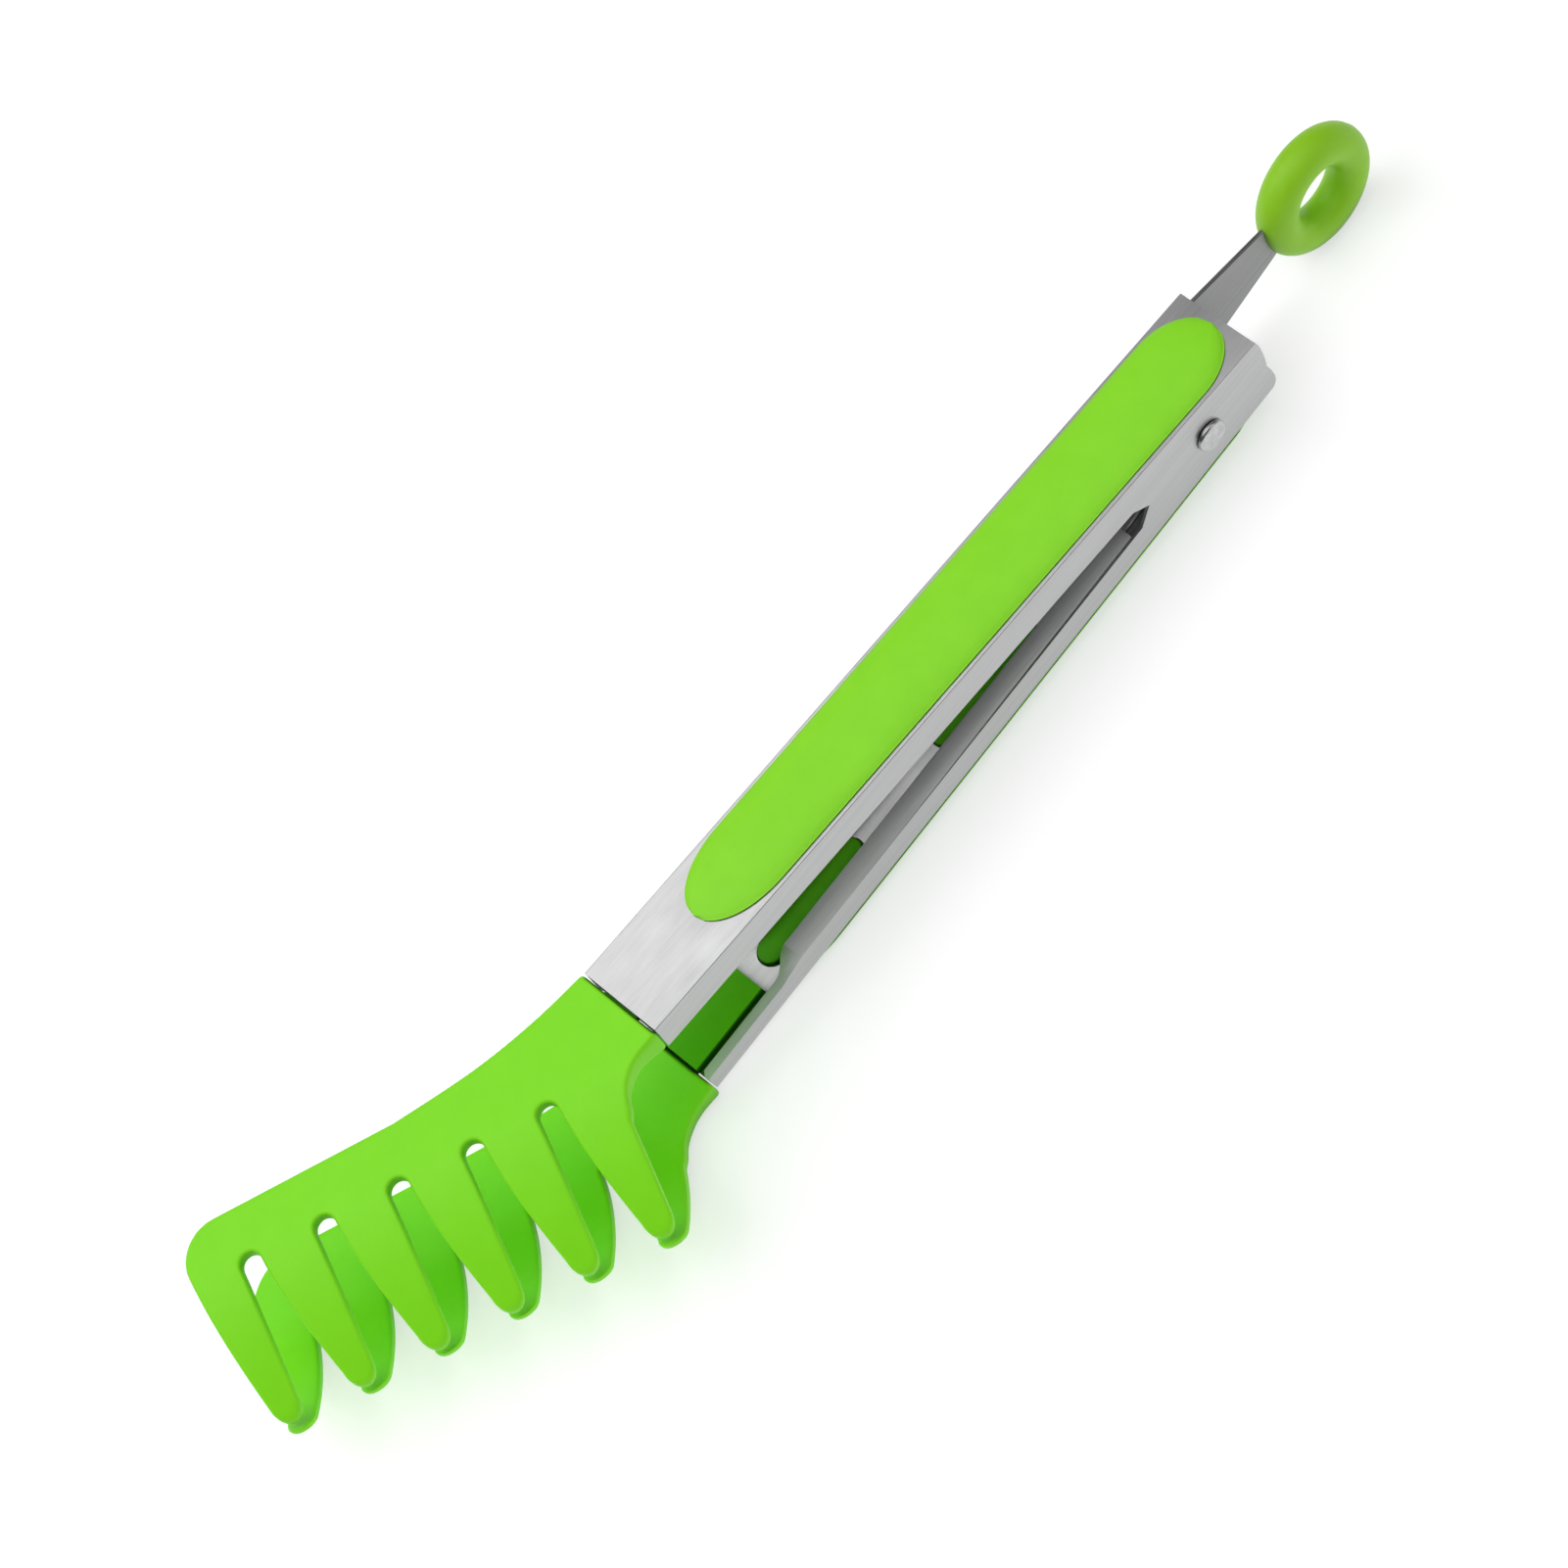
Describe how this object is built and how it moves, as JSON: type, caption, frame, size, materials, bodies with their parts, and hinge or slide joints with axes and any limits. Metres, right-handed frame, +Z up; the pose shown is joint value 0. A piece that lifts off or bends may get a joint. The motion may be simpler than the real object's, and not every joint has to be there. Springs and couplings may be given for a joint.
{
  "type": "locking kitchen tongs",
  "caption": "Spring loaded serving tongs with folded steel arms, silicone grips, toothed pasta heads and a pull ring lock.",
  "frame": {"origin": "Middle of the bounding box in plan, at the ground the shut tongs lie on.", "axes": "+X runs along the arms from the hinge to the comb heads, +Y to the side that the tines point to, +Z up, square to the broad faces of the arms."},
  "size_m": [0.3264, 0.0712, 0.0382],
  "materials": {
    "steel": "brushed along the arm",
    "silicone": "matte moulded silicone",
    "nylon": "moulded nylon",
    "rivet": "cold headed",
    "bush": "turned",
    "wire": "drawn spring wire",
    "plate": "sheet, sheared edges",
    "ring": "matte moulded ring"
  },
  "bodies": {
    "lower_half": {"lower_arm": "steel", "lower_grip": "silicone", "lower_tang": "nylon", "lower_comb": "silicone"},
    "upper_half": {"upper_arm": "steel", "upper_grip": "silicone", "upper_tang": "nylon", "upper_comb": "silicone"},
    "hinge_set": {"hinge_rivet": "rivet", "rivet_washer": "rivet", "spring_bush": "bush", "torsion_spring": "wire"},
    "pull_tab": {"lock_plate": "plate", "hanging_ring": "ring"}
  },
  "joints": [
    {"name": "arm_hinge", "type": "hinge", "parent": "lower_half", "child": "upper_half", "pos_m": [-0.09699, 0.00359, 0.01553], "axis": [0, -1, 0], "range_deg": [0, 16], "deforming": ["torsion_spring"]},
    {"name": "pin_turn", "type": "hinge", "parent": "lower_half", "child": "hinge_set", "pos_m": [-0.09699, 0.00359, 0.01553], "axis": [0, -1, 0], "range_deg": [0, 8]},
    {"name": "tab_slide", "type": "slide", "parent": "hinge_set", "child": "pull_tab", "axis": [0.9998, 0, 0.0209], "range_m": [0, 0.0135]}
  ],
  "couplings": [
    {"joint": "pin_turn", "follows": "arm_hinge", "ratio": 0.5},
    {"joint": "tab_slide", "follows": "arm_hinge", "m_per_rad": 0.04834}
  ]
}
